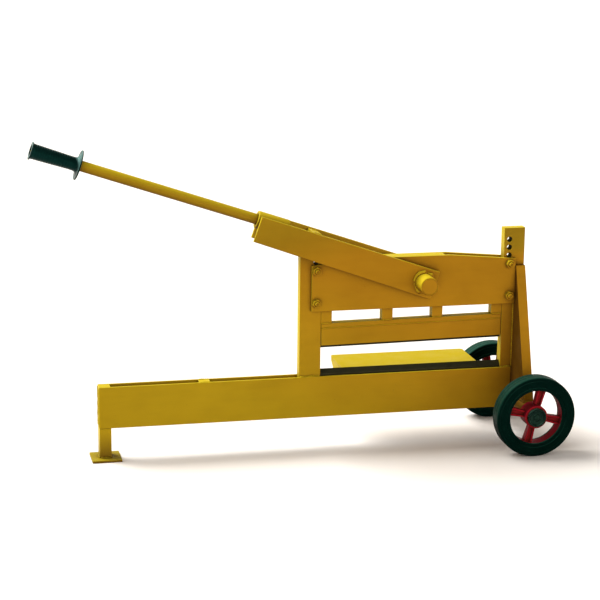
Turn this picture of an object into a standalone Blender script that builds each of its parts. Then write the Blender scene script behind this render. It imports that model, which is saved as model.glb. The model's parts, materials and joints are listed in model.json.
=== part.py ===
"""Hand-lever block splitter: a beam on one leg and two wheels, a head on two posts, a cam lever.

X runs along the beam, with the handle on the -X side. The front is the -Y side, +Z is up.
Places are given from the corner of the beam where the leg stands; one empty moves them all so that
the origin is under the middle of the whole machine.
"""
import math

import bmesh
import bpy
from mathutils import Matrix, Vector

MM = 0.001
GAP = 0.3 * MM                  # air between touching pieces
ROUND = 48                      # sides of a wheel
BORE_ROUND = 40                 # sides of the shaft and its bores
SMALL_ROUND = 14                # sides of a bolt or a hole

# ---- driving dimensions -------------------------------------------------------------------------
MIDDLE_X = 494.25 * MM          # middle of the whole machine, from the beam's left end
WHEEL_RADIUS = 100 * MM
WHEEL_WIDTH = 40 * MM
TRACK_HALF = 167.5 * MM         # wheel mid-plane from the beam's middle
AXLE_X = 1046 * MM
AXLE_RADIUS = 10 * MM
AXLE_HALF = 190 * MM

BEAM_LEFT = -1.8 * MM
BEAM_RIGHT = 1035.5 * MM
BEAM_BOTTOM = 79.5 * MM
BEAM_TOP = 182.5 * MM
BAY_HALF = 12.5 * MM            # half the space between the beam plates, and between the head plates
BEAM_PLATE = 5 * MM
BAR_HALF = BAY_HALF - GAP       # half the depth of the bars that stand in that space
BEAM_SPACER_LEFT = 243 * MM
BEAM_SPACER_RIGHT = 270 * MM
BEAM_SPACER_BOTTOM = 152 * MM
FOOT_LEFT = -22 * MM
FOOT_NEAR = -38 * MM
FOOT_SIDE = 72 * MM
FOOT_THICK = 6 * MM
LEG_RIGHT = 26.7 * MM

POST_WIDTH = 53.5 * MM
LEFT_POST_X = 490.2 * MM
RIGHT_POST_X = 1007.8 * MM
LEFT_POST_TOP = 528.2 * MM
RIGHT_POST_TOP = 538 * MM
HOLE_PITCH = 20 * MM
LOWEST_HOLE_Z = 369 * MM
HOLE_COUNT = 8
HOLE_RADIUS = 6.5 * MM
HOLE_FROM_EDGE = 13.9 * MM      # from the post's edge that faces the blades
BOLT_RADIUS = 6 * MM
HEX_RADIUS = 11 * MM            # 19 mm across flats
BOLT_HEAD_THICK = 7.5 * MM
NUT_THICK = 10 * MM
THREAD_OUT = 15 * MM            # from the head plate to the thread's end

HEAD_LEFT = 518 * MM
HEAD_RIGHT = 1037 * MM
HEAD_BOTTOM = 347.8 * MM
HEAD_END_TOP = 461.8 * MM
HEAD_TOP = 476.8 * MM
HEAD_FLAT_LEFT = 700 * MM
HEAD_FLAT_RIGHT = 866 * MM
HEAD_SPACER_RIGHT = 856 * MM
HEAD_PLATE = 8 * MM
HEAD_SPACER_THICK = 11 * MM

BLADE_LEFT = 544.2 * MM
BLADE_RIGHT = 1007.3 * MM
BLADE_MIDDLE = (BLADE_LEFT + BLADE_RIGHT) / 2
BLADE_HALF_LENGTH = (BLADE_RIGHT - BLADE_LEFT) / 2
LOWER_TIP_Z = 198.5 * MM
LOWER_SHOULDER_Z = 187.5 * MM
LOWER_BLADE_HALF = 9 * MM
SEAT_TOP = 160 * MM
SEAT_BOTTOM = 120 * MM

CARRIER_HALF = 12 * MM
CARRIER_TOP = 357.8 * MM
UPRIGHT_LEFTS = (544.2 * MM, 698.3 * MM, 826.3 * MM, 980.1 * MM)
UPRIGHT_WIDTH = 27.2 * MM
BLADE_SLOPE = math.radians(0.77)   # the upper blade's left end is lower, so that the cut starts there
RAIL_MIDDLE_TOP = 318 * MM      # heights in the middle of the blade, square to its slope
RAIL_THICK = 12 * MM
HOLDER_BOTTOM = 262.5 * MM
UPPER_BLADE_HALF = 8 * MM
UPPER_BLADE_TOP = 284 * MM
UPPER_SHOULDER_Z = 267 * MM
UPPER_TIP_Z = 254.7 * MM

PIVOT_X = 795.7 * MM
PIVOT_Z = 414.9 * MM
SHAFT_RADIUS = 22.5 * MM
SHAFT_HALF = 88 * MM
SHAFT_BORE = 22.9 * MM
BUSH_RADIUS = 30 * MM
LEVER_TILT = math.radians(18.8)
LEVER_LENGTH = 439.5 * MM       # pivot to the front plate's cut end
LEVER_BACK_LENGTH = 432 * MM
LEVER_TAIL = 32 * MM
LEVER_TOP = 35.5 * MM           # edge above the pivot line
LEVER_BACK_TOP = 39.3 * MM
LEVER_BOTTOM_TAIL = 36.7 * MM
LEVER_BOTTOM_END = 28.3 * MM
LEVER_INNER = 28 * MM
LEVER_OUTER = 36 * MM
CROSS_BAR_THICK = 10 * MM
STOP_BAR_FROM = 280.5 * MM
STOP_BAR_TO = 305.5 * MM
SOCKET_BAR_FROM = 401 * MM
SOCKET_BAR_TO = 426 * MM
SOCKET_BAR_TOP = 0 * MM

POLE_DROOP = math.radians(0.32)
POLE_START = 368 * MM           # along the lever, from the pivot
POLE_RISE = 22.4 * MM           # pole's middle above the pivot line, at its start
POLE_RADIUS = 12.9 * MM
POLE_LENGTH = 635 * MM
SOCKET_RADIUS = 21.5 * MM
SOCKET_FROM = 362 * MM
SOCKET_TO = 442 * MM
GRIP_LENGTH = 120 * MM
GRIP_RADIUS = 18.5 * MM
GRIP_NECK_RADIUS = 16 * MM
GRIP_COLLAR_RADIUS = 22 * MM
GRIP_FLANGE_RADIUS = 37 * MM

CAM_BASE_RADIUS = 20 * MM       # the carrier rises 20 mm for each radian of lever
CAM_REACH = PIVOT_Z - CARRIER_TOP - GAP
CAM_SWEEP = math.radians(75)
CAM_LEAD = math.radians(5)
CAM_HUB_RADIUS = 28 * MM

SPRING_XS = (600 * MM, 952 * MM)
SPRING_RADIUS = 8.5 * MM        # to the wire's middle
SPRING_WIRE = 1.5 * MM
SPRING_TURNS = 6
SPRING_STEPS = 8                # points in a turn
HANGER_Z = 452 * MM
HANGER_RADIUS = 4 * MM
LUG_HOLE_Z = CARRIER_TOP + 9 * MM

TABLE_LEFT = 607 * MM
TABLE_RIGHT = 957 * MM
TABLE_TOP = 192 * MM
TABLE_THICK = 5 * MM
TABLE_BACK = 143.5 * MM
TABLE_CORNER = 8 * MM
BRACKET_THICK = 5 * MM
BRACKET_FOOT_Z = 110 * MM

BRACE_OUT = 121 * MM            # how far the brace's foot reaches from the beam's middle
BRACE_TOP = 444 * MM
BRACE_SLOPE = math.radians(16.9)
AXLE_TUBE_RADIUS = 20 * MM

HUB_INNER = 143.5 * MM          # hub's inner and outer faces, from the beam's middle
HUB_OUTER = 186.5 * MM
HUB_RADIUS = 28.5 * MM
HUB_BORE = AXLE_RADIUS + GAP
TYRE_LIP_RADIUS = 67.3 * MM     # the tyre's edges close over the rim on both sides
TYRE_EDGE = 4 * MM
RIM_RADIUS = 71 * MM
RIM_INNER = 66.7 * MM
RIM_HALF = 13.7 * MM
SPOKE_WEB = 12 * MM             # a spoke is a web between two ribs
SPOKE_THICK = 8 * MM
SPOKE_RIB = 5 * MM
SPOKE_DEEP = 20 * MM
SPOKE_TURN = math.radians(-13.7)
CAP_RADIUS = 23.5 * MM
CAP_OUTER = 195 * MM

BEAM_PLATE_OUT = BAY_HALF + BEAM_PLATE
HEAD_PLATE_OUT = BAY_HALF + HEAD_PLATE

# ---- scene --------------------------------------------------------------------------------------
for old in list(bpy.data.objects):
    bpy.data.objects.remove(old)

parts = bpy.data.collections.new("block_splitter")
cutters = bpy.data.collections.new("block_splitter_cutters")
bpy.context.scene.collection.children.link(parts)
bpy.context.scene.collection.children.link(cutters)


# ---- materials ----------------------------------------------------------------------------------
def material(name, color, roughness, metallic=0.0):
    made = bpy.data.materials.new(name)
    made.use_nodes = True
    shader = made.node_tree.nodes["Principled BSDF"]
    shader.inputs["Base Color"].default_value = (*color, 1.0)
    shader.inputs["Roughness"].default_value = roughness
    shader.inputs["Metallic"].default_value = metallic
    return made


PAINT = material("yellow_paint", (0.62, 0.38, 0.02), 0.45)
TABLE_PAINT = material("bright_yellow_paint", (0.75, 0.55, 0.01), 0.45)
RED_PAINT = material("red_paint", (0.45, 0.01, 0.02), 0.4)
RUBBER = material("black_rubber", (0.012, 0.02, 0.018), 0.8)
GREEN_PLASTIC = material("dark_green_plastic", (0.01, 0.03, 0.025), 0.55)
BLADE_STEEL = material("blade_steel", (0.10, 0.095, 0.08), 0.4, 0.9)
BRIGHT_STEEL = material("bright_steel", (0.55, 0.54, 0.5), 0.35, 1.0)


# ---- helpers ------------------------------------------------------------------------------------
def empty(name, location, rotation=(0, 0, 0), parent=None):
    made = bpy.data.objects.new(name, None)
    made.location = location
    made.rotation_euler = rotation
    made.parent = parent
    parts.objects.link(made)
    return made


def add(name, data, surface, parent, location=(0, 0, 0), rotation=(0, 0, 0), collection=parts):
    made = bpy.data.objects.new(name, data)
    made.location = location
    made.rotation_euler = rotation
    made.parent = parent
    if surface:
        data.materials.append(surface)
    collection.objects.link(made)
    return made


def mesh_from(bm, name, smooth=False):
    mesh = bpy.data.meshes.new(name)
    bm.to_mesh(mesh)
    bm.free()
    if smooth:
        mesh.shade_smooth()
        mesh.set_sharp_from_angle(angle=math.radians(35))
    return mesh


def block(name, low, high, surface, parent, collection=parts):
    """A box between two corners, with its origin at its middle."""
    bm = bmesh.new()
    bmesh.ops.create_cube(bm, size=1.0)
    size = Vector(high) - Vector(low)
    bmesh.ops.scale(bm, vec=size, verts=bm.verts)
    middle = (Vector(high) + Vector(low)) / 2
    return add(name, mesh_from(bm, name), surface, parent, middle, collection=collection)


def rod(name, radius, near_y, far_y, surface, parent, x=0.0, z=0.0, sides=ROUND, collection=parts):
    """A round bar along Y, or a hexagonal one with six sides."""
    bm = bmesh.new()
    bmesh.ops.create_cone(
        bm, cap_ends=True, segments=sides, radius1=radius, radius2=radius, depth=far_y - near_y)
    bmesh.ops.rotate(bm, matrix=Matrix.Rotation(math.pi / 2, 3, "X"), verts=bm.verts)
    location = (x, (near_y + far_y) / 2, z)
    return add(name, mesh_from(bm, name, sides > 6), surface, parent, location, collection=collection)


def turned(name, profile, surface, parent, location=(0, 0, 0), rotation=(0, 0, 0), steps=ROUND):
    """A closed profile of (radius, height) points, outer side from top to bottom, turned about Z."""
    bm = bmesh.new()
    half_step = math.pi / steps
    points = [bm.verts.new((r * math.cos(half_step), r * math.sin(half_step), z)) for r, z in profile]
    for first, second in zip(points, points[1:] + points[:1]):
        bm.edges.new((first, second))
    made = add(name, mesh_from(bm, name), surface, parent, location, rotation)
    screw = made.modifiers.new("turn", "SCREW")
    screw.steps = screw.render_steps = steps
    screw.use_merge_vertices = True
    screw.merge_threshold = 0.00001
    screw.use_smooth_shade = True
    return made


def circle(x, z, radius, sides):
    turn = 2 * math.pi / sides
    return [(x + radius * math.cos(turn * (i + 0.5)), z + radius * math.sin(turn * (i + 0.5)))
            for i in range(sides)]


def cut_out(name, outline, holes, near_y, far_y, surface, parent):
    """A flat plate that faces Y: an outline of (x, z) points with holes in it."""
    curve = bpy.data.curves.new(name, "CURVE")
    curve.dimensions = "2D"
    curve.fill_mode = "BOTH"
    curve.extrude = (far_y - near_y) / 2
    for loop in [outline] + holes:
        spline = curve.splines.new("POLY")
        spline.points.add(len(loop) - 1)
        for point, (x, z) in zip(spline.points, loop):
            point.co = (x, z, 0, 1)
        spline.use_cyclic_u = True
    return add(name, curve, surface, parent, (0, (near_y + far_y) / 2, 0), (math.pi / 2, 0, 0))


def combine(target, tool, operation):
    step = target.modifiers.new(operation.lower(), "BOOLEAN")
    step.object = tool
    step.operation = operation
    step.solver = "EXACT"
    tool.hide_render = True
    tool.display_type = "WIRE"


def wire(name, points, radius, surface, parent, location=(0, 0, 0)):
    curve = bpy.data.curves.new(name, "CURVE")
    curve.dimensions = "3D"
    curve.bevel_depth = radius
    curve.bevel_resolution = 2
    curve.use_fill_caps = True
    spline = curve.splines.new("POLY")
    spline.points.add(len(points) - 1)
    for point, place in zip(spline.points, points):
        point.co = (*place, 1)
    return add(name, curve, surface, parent, location)


SIDES = (("front", -1), ("back", 1))


def layer(side, inner, outer):
    """The Y range of a piece that lies between two distances from the middle, on one side."""
    return (inner, outer) if side > 0 else (-outer, -inner)


# ---- frame --------------------------------------------------------------------------------------
machine = empty("machine", (-MIDDLE_X, 0, 0))


def make_beam():
    for word, side in SIDES:
        near, far = layer(side, BAY_HALF, BEAM_PLATE_OUT)
        block("beam_plate_" + word, (BEAM_LEFT, near, BEAM_BOTTOM), (BEAM_RIGHT, far, BEAM_TOP), PAINT,
              machine)
    block("beam_spacer", (BEAM_SPACER_LEFT, -BAR_HALF, BEAM_SPACER_BOTTOM),
          (BEAM_SPACER_RIGHT, BAR_HALF, BEAM_TOP), PAINT, machine)
    leg_bottom = FOOT_THICK + GAP
    leg = block("front_leg", (BEAM_LEFT, -BAR_HALF, leg_bottom), (LEG_RIGHT, BAR_HALF, BEAM_TOP), PAINT,
                machine)
    shank = block("leg_shank", (BEAM_LEFT, -BEAM_PLATE_OUT, leg_bottom),
                  (LEG_RIGHT, BEAM_PLATE_OUT, BEAM_BOTTOM - GAP), None, machine, cutters)
    combine(leg, shank, "UNION")
    block("foot_plate", (FOOT_LEFT, FOOT_NEAR, 0),
          (FOOT_LEFT + FOOT_SIDE, FOOT_NEAR + FOOT_SIDE, FOOT_THICK), PAINT, machine)
    block("blade_seat", (BLADE_LEFT, -BAR_HALF, SEAT_BOTTOM), (BLADE_RIGHT, BAR_HALF, SEAT_TOP), PAINT,
          machine)


def make_post(name, left, top, holes_x, axle_hole):
    outline = [(left, BEAM_BOTTOM), (left + POST_WIDTH, BEAM_BOTTOM), (left + POST_WIDTH, top), (left, top)]
    holes = [circle(holes_x, LOWEST_HOLE_Z + i * HOLE_PITCH, HOLE_RADIUS, SMALL_ROUND)
             for i in range(HOLE_COUNT)]
    if axle_hole:
        holes.append(circle(AXLE_X, WHEEL_RADIUS, HUB_BORE, 32))
    cut_out(name, outline, holes, -BAR_HALF, BAR_HALF, PAINT, machine)


def make_braces():
    """Three-cornered plates that stand across the beam, from the right post out to the axle tubes."""
    left = HEAD_RIGHT + GAP
    width = RIGHT_POST_X + POST_WIDTH - left
    foot = WHEEL_RADIUS + AXLE_TUBE_RADIUS + GAP
    reach_top = BRACE_OUT - (BRACE_TOP - foot) * math.tan(BRACE_SLOPE)
    outline = [(BAY_HALF, foot), (BRACE_OUT, foot), (reach_top, BRACE_TOP), (BAY_HALF, BRACE_TOP)]
    for word, side in SIDES:
        plate = cut_out("brace_" + word, outline, [], -width / 2, width / 2, PAINT, machine)
        plate.location = (left + width / 2, 0, 0)
        plate.rotation_euler = (math.pi / 2, 0, side * math.pi / 2)


def make_head():
    outline = [
        (HEAD_LEFT, HEAD_BOTTOM), (HEAD_RIGHT, HEAD_BOTTOM), (HEAD_RIGHT, HEAD_END_TOP),
        (HEAD_FLAT_RIGHT, HEAD_TOP), (HEAD_FLAT_LEFT, HEAD_TOP), (HEAD_LEFT, HEAD_END_TOP),
    ]
    bolt_xs = (LEFT_POST_X + POST_WIDTH - HOLE_FROM_EDGE, RIGHT_POST_X + HOLE_FROM_EDGE)
    bolt_zs = (LOWEST_HOLE_Z, LOWEST_HOLE_Z + 4 * HOLE_PITCH)
    bolts = [(x, z) for x in bolt_xs for z in bolt_zs]
    holes = [circle(x, z, HOLE_RADIUS, SMALL_ROUND) for x, z in bolts]
    holes.append(circle(PIVOT_X, PIVOT_Z, SHAFT_BORE, BORE_ROUND))
    for word, side in SIDES:
        near, far = layer(side, BAY_HALF, HEAD_PLATE_OUT)
        cut_out("head_plate_" + word, outline, holes, near, far, PAINT, machine)
        near, far = layer(side, HEAD_PLATE_OUT + GAP, LEVER_INNER - GAP)
        bush = cut_out("pivot_bush_" + word, circle(0, 0, BUSH_RADIUS, BORE_ROUND),
                       [circle(0, 0, SHAFT_BORE, BORE_ROUND)], near, far, PAINT, machine)
        bush.location = (PIVOT_X, (near + far) / 2, PIVOT_Z)
    block("head_top_spacer", (HEAD_FLAT_LEFT, -BAR_HALF, HEAD_TOP - HEAD_SPACER_THICK),
          (HEAD_SPACER_RIGHT, BAR_HALF, HEAD_TOP), PAINT, machine)
    for number, (x, z) in enumerate(bolts, 1):
        make_bolt(number, x, z)


def make_bolt(number, x, z):
    """The bolt's head is at the back; its thread end stands out of the nut at the front."""
    face = HEAD_PLATE_OUT + GAP
    bolt = rod(f"head_bolt_{number}", BOLT_RADIUS, -face - THREAD_OUT, face + BOLT_HEAD_THICK / 2, PAINT,
               machine, x, z, SMALL_ROUND)
    hexagon = rod(f"bolt_head_{number}", HEX_RADIUS, face, face + BOLT_HEAD_THICK, None, machine, x, z, 6,
                  cutters)
    combine(bolt, hexagon, "UNION")
    corners = circle(0, 0, HEX_RADIUS, 6)
    nut = cut_out(f"head_nut_{number}", corners, [circle(0, 0, BOLT_RADIUS + GAP, SMALL_ROUND)],
                  -face - NUT_THICK, -face, PAINT, machine)
    nut.location = (x, -face - NUT_THICK / 2, z)


def make_lower_blade():
    """A bar with a roof-shaped top edge that stands in the beam on its seat."""
    outline = [
        (-LOWER_BLADE_HALF, SEAT_TOP + GAP), (LOWER_BLADE_HALF, SEAT_TOP + GAP),
        (LOWER_BLADE_HALF, LOWER_SHOULDER_Z), (0, LOWER_TIP_Z), (-LOWER_BLADE_HALF, LOWER_SHOULDER_Z),
    ]
    along_beam("lower_blade", outline, BLADE_LEFT, BLADE_RIGHT, BLADE_STEEL, machine)


def along_beam(name, outline, left, right, surface, parent):
    """An outline of (y, z) points pushed along X."""
    made = cut_out(name, outline, [], -(right - left) / 2, (right - left) / 2, surface, parent)
    made.location = ((left + right) / 2, 0, 0)
    made.rotation_euler = (math.pi / 2, 0, math.pi / 2)
    return made


def make_table():
    """A plate behind the lower blade on two three-cornered brackets, all at the back."""
    front = BEAM_PLATE_OUT + GAP
    corner = []
    for x, turn in ((TABLE_RIGHT - TABLE_CORNER, 0), (TABLE_LEFT + TABLE_CORNER, math.pi / 2)):
        for i in range(5):
            angle = turn + i * math.pi / 8
            corner.append((x + TABLE_CORNER * math.cos(angle),
                           TABLE_BACK - TABLE_CORNER + TABLE_CORNER * math.sin(angle)))
    outline = [(TABLE_LEFT, front), (TABLE_RIGHT, front)] + corner
    plate = cut_out("table_plate", outline, [], -TABLE_THICK / 2, TABLE_THICK / 2, TABLE_PAINT, machine)
    plate.location = (0, 0, TABLE_TOP - TABLE_THICK / 2)
    plate.rotation_euler = (0, 0, 0)
    under = TABLE_TOP - TABLE_THICK - GAP
    side_view = [
        (front, under), (front, BRACKET_FOOT_Z), (front + 12 * MM, BRACKET_FOOT_Z),
        (TABLE_BACK - 4 * MM, under - 8 * MM), (TABLE_BACK - 4 * MM, under),
    ]
    side_view.reverse()
    along_beam("table_bracket_left", side_view, TABLE_LEFT + 1 * MM, TABLE_LEFT + 1 * MM + BRACKET_THICK,
               TABLE_PAINT, machine)
    along_beam("table_bracket_right", side_view, TABLE_RIGHT - 1 * MM - BRACKET_THICK,
               TABLE_RIGHT - 1 * MM, TABLE_PAINT, machine)


# ---- lever --------------------------------------------------------------------------------------
pivot = empty("lever_pivot", (PIVOT_X, 0, PIVOT_Z), (0, LEVER_TILT, 0), machine)
pole_line = empty("pole_line", (-POLE_START, 0, POLE_RISE), (0, -POLE_DROOP, 0), pivot)


def make_lever():
    """Lever pieces lie along the pivot's -X; its tilt is the lever's lowest position."""
    for word, side in SIDES:
        length, top = (LEVER_LENGTH, LEVER_TOP) if side < 0 else (LEVER_BACK_LENGTH, LEVER_BACK_TOP)
        outline = [(-length, -LEVER_BOTTOM_END), (0, -LEVER_BOTTOM_TAIL), (LEVER_TAIL, -LEVER_BOTTOM_TAIL),
                   (LEVER_TAIL, top), (-length, top)]
        near, far = layer(side, LEVER_INNER, LEVER_OUTER)
        cut_out("lever_plate_" + word, outline, [circle(0, 0, SHAFT_BORE, BORE_ROUND)], near, far, PAINT,
                pivot)
    reach = LEVER_INNER - GAP
    for name, start, end, top in (("lever_stop_bar", STOP_BAR_FROM, STOP_BAR_TO, LEVER_TOP),
                                  ("socket_bar", SOCKET_BAR_FROM, SOCKET_BAR_TO, SOCKET_BAR_TOP)):
        block(name, (-end, -reach, top - CROSS_BAR_THICK), (-start, reach, top), PAINT, pivot)
    rod("pivot_shaft", SHAFT_RADIUS, -SHAFT_HALF, SHAFT_HALF, PAINT, pivot, sides=BORE_ROUND)


def make_handle():
    """The socket, pole and grip lie along the pole's own line, along the empty's -X."""
    lie_down = (0, -math.pi / 2, 0)
    start = SOCKET_FROM - POLE_START
    end = SOCKET_TO - POLE_START
    bore = POLE_RADIUS + GAP
    socket = [(SOCKET_RADIUS, end), (SOCKET_RADIUS, start), (bore, start), (bore, end)]
    turned("lever_socket", socket, PAINT, pole_line, rotation=lie_down, steps=24)
    pole = [(POLE_RADIUS, POLE_LENGTH), (POLE_RADIUS, 0), (POLE_RADIUS - 2 * MM, 0),
            (POLE_RADIUS - 2 * MM, POLE_LENGTH)]
    turned("handle_pole", pole, PAINT, pole_line, rotation=lie_down, steps=24)
    outer = POLE_LENGTH + 3 * MM
    inner = outer - GRIP_LENGTH
    grip = [
        (bore, outer), (GRIP_COLLAR_RADIUS, outer), (GRIP_COLLAR_RADIUS, outer - 3 * MM),
        (GRIP_RADIUS, outer - 6 * MM), (GRIP_NECK_RADIUS, inner + 18 * MM),
        (GRIP_NECK_RADIUS + 2 * MM, inner + 9 * MM), (GRIP_FLANGE_RADIUS - 1 * MM, inner + 4 * MM),
        (GRIP_FLANGE_RADIUS, inner + 2 * MM), (GRIP_FLANGE_RADIUS - 1 * MM, inner),
        (GRIP_NECK_RADIUS, inner), (bore, inner),
    ]
    turned("handle_grip", grip, GREEN_PLASTIC, pole_line, rotation=lie_down, steps=24)


def involute_reach(angle):
    """How far the cam reaches down when the lever is turned up by this angle."""
    return CAM_REACH - CAM_BASE_RADIUS * angle


def make_cam():
    """The working edge is an involute, so the carrier moves evenly with the lever."""
    outline = []
    steps = 16
    for i in range(steps + 1):
        angle = -CAM_LEAD + (CAM_SWEEP + CAM_LEAD) * i / steps
        reach = involute_reach(angle)
        x = reach * math.sin(angle) - CAM_BASE_RADIUS * math.cos(angle)
        z = -reach * math.cos(angle) - CAM_BASE_RADIUS * math.sin(angle)
        outline.append((x, z))
    for i in range(13):
        turn = math.pi * i / 12
        outline.append((CAM_HUB_RADIUS * math.cos(turn), CAM_HUB_RADIUS * math.sin(turn)))
    cam = cut_out("cam", outline, [circle(0, 0, SHAFT_BORE, BORE_ROUND)], -CARRIER_HALF, CARRIER_HALF,
                  BRIGHT_STEEL, pivot)
    cam.rotation_euler = (math.pi / 2, -LEVER_TILT, 0)


# ---- blade carrier ------------------------------------------------------------------------------
carrier = empty("carrier_guide", (0, 0, 0), parent=machine)
# the slope turns about the middle of the upper blade's top edge
blade_line_x = BLADE_MIDDLE + UPPER_BLADE_TOP * math.sin(BLADE_SLOPE)
blade_line = empty("blade_line", (blade_line_x, 0, 0), (0, -BLADE_SLOPE, 0), carrier)


def make_carrier():
    bottom = HEAD_BOTTOM + GAP
    bar = block("carrier_top_bar", (BLADE_LEFT, -CARRIER_HALF, bottom),
                (BLADE_RIGHT, CARRIER_HALF, CARRIER_TOP), PAINT, carrier)
    for number, x in enumerate(SPRING_XS, 1):
        lug = block(f"lug_{number}", (x - 7 * MM, -3 * MM, bottom + 2 * MM),
                    (x + 7 * MM, 3 * MM, LUG_HOLE_Z + 6 * MM), None, carrier, cutters)
        combine(bar, lug, "UNION")
        eye = rod(f"lug_eye_{number}", 3.5 * MM, -8 * MM, 8 * MM, None, carrier, x, LUG_HOLE_Z, 16, cutters)
        combine(bar, eye, "DIFFERENCE")
    lean = math.tan(BLADE_SLOPE)
    for number, x in enumerate(UPRIGHT_LEFTS, 1):
        low = RAIL_MIDDLE_TOP + GAP + (x - BLADE_MIDDLE) * lean
        outline = [(x, low), (x + UPRIGHT_WIDTH, low + UPRIGHT_WIDTH * lean),
                   (x + UPRIGHT_WIDTH, HEAD_BOTTOM), (x, HEAD_BOTTOM)]
        cut_out(f"carrier_upright_{number}", outline, [], -CARRIER_HALF, CARRIER_HALF, PAINT, carrier)
    half = BLADE_HALF_LENGTH - 1 * MM
    rail_bottom = RAIL_MIDDLE_TOP - RAIL_THICK
    block("carrier_rail", (-half, -CARRIER_HALF, rail_bottom), (half, CARRIER_HALF, RAIL_MIDDLE_TOP),
          PAINT, blade_line)
    holder = block("blade_holder", (-half, -CARRIER_HALF, HOLDER_BOTTOM),
                   (half, CARRIER_HALF, rail_bottom - GAP), PAINT, blade_line)
    groove = block("holder_groove", (-half - 5 * MM, -UPPER_BLADE_HALF - GAP, HOLDER_BOTTOM - 5 * MM),
                   (half + 5 * MM, UPPER_BLADE_HALF + GAP, UPPER_BLADE_TOP + GAP), None, blade_line,
                   cutters)
    combine(holder, groove, "DIFFERENCE")
    blade = [
        (0, UPPER_TIP_Z), (UPPER_BLADE_HALF, UPPER_SHOULDER_Z), (UPPER_BLADE_HALF, UPPER_BLADE_TOP),
        (-UPPER_BLADE_HALF, UPPER_BLADE_TOP), (-UPPER_BLADE_HALF, UPPER_SHOULDER_Z),
    ]
    along_beam("upper_blade", blade, -half, half, BLADE_STEEL, blade_line)


def spring_points():
    """Up from the eye hook, round the coil, and over the hanger bar; heights from the eye."""
    rise = HANGER_Z - LUG_HOLE_Z
    hook = 7 * MM
    points = []
    for i in range(7):                                        # half a loop through the lug's eye
        turn = math.pi + math.pi * i / 6
        points.append((0, hook * math.cos(turn), hook + hook * math.sin(turn)))
    coil_low = 2 * hook + 2 * MM
    coil_high = rise - 14 * MM
    steps = SPRING_TURNS * SPRING_STEPS
    for i in range(steps + 1):
        turn = math.pi / 2 + 2 * math.pi * i / SPRING_STEPS
        height = coil_low + (coil_high - coil_low) * i / steps
        points.append((SPRING_RADIUS * math.cos(turn), SPRING_RADIUS * math.sin(turn), height))
    over = HANGER_RADIUS + SPRING_WIRE + GAP
    points.append((over * 0.6, over * 0.6, coil_high + 5 * MM))
    for i in range(9):                                        # most of a loop over the hanger bar
        turn = math.pi * 1.15 * i / 8
        points.append((over * math.cos(turn), 0, rise + over * math.sin(turn)))
    return points


def make_springs():
    for word, x in zip(("left", "right"), SPRING_XS):
        wire("return_spring_" + word, spring_points(), SPRING_WIRE, BRIGHT_STEEL, machine,
             (x, 0, LUG_HOLE_Z))
        rod("spring_hanger_" + word, HANGER_RADIUS, -BAR_HALF, BAR_HALF, BRIGHT_STEEL, machine, x,
            HANGER_Z, SMALL_ROUND)


# ---- wheels -------------------------------------------------------------------------------------
def make_wheel(word, side):
    """Wheel pieces are turned about Z, then laid so that +Z points away from the beam."""
    hub = empty("wheel_" + word, (AXLE_X, side * TRACK_HALF, WHEEL_RADIUS),
                (-side * math.pi / 2, 0, 0), machine)
    half = WHEEL_WIDTH / 2
    outer = WHEEL_RADIUS / math.cos(math.pi / ROUND)          # flats of the turned shape touch the floor
    seat = RIM_RADIUS + GAP
    inside = RIM_HALF + GAP
    upper = [(TYRE_LIP_RADIUS, inside), (TYRE_LIP_RADIUS, half - 1 * MM), (TYRE_LIP_RADIUS + 2 * MM, half),
             (outer - TYRE_EDGE, half), (outer - 0.3 * TYRE_EDGE, half - 0.3 * TYRE_EDGE),
             (outer, half - TYRE_EDGE)]
    lower = [(r, -z) for r, z in reversed(upper)]
    tyre = upper + lower + [(seat, -inside), (seat, inside)]
    turned("tyre_" + word, tyre, RUBBER, hub)
    make_rim("rim_" + word, hub)
    near = HUB_OUTER - TRACK_HALF + GAP
    far = CAP_OUTER - TRACK_HALF
    wall = 3 * MM
    cap = [
        (CAP_RADIUS - 3 * MM, far), (CAP_RADIUS, far - 3 * MM), (CAP_RADIUS, near),
        (CAP_RADIUS - wall, near), (CAP_RADIUS - wall, far - wall), (0, far - wall), (0, far),
    ]
    open_profile_cap("hub_cap_" + word, cap, hub)


def open_profile_cap(name, profile, parent):
    """A cup: its profile starts and ends on the axis, so the turned surface closes there."""
    bm = bmesh.new()
    ends = profile[-1:] + profile[:-1]
    points = [bm.verts.new((r, 0, z)) for r, z in ends]
    for first, second in zip(points, points[1:]):
        bm.edges.new((first, second))
    made = add(name, mesh_from(bm, name), GREEN_PLASTIC, parent)
    screw = made.modifiers.new("turn", "SCREW")
    screw.steps = screw.render_steps = 32
    screw.use_merge_vertices = True
    screw.merge_threshold = 0.00001
    screw.use_smooth_shade = True
    return made


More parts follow.
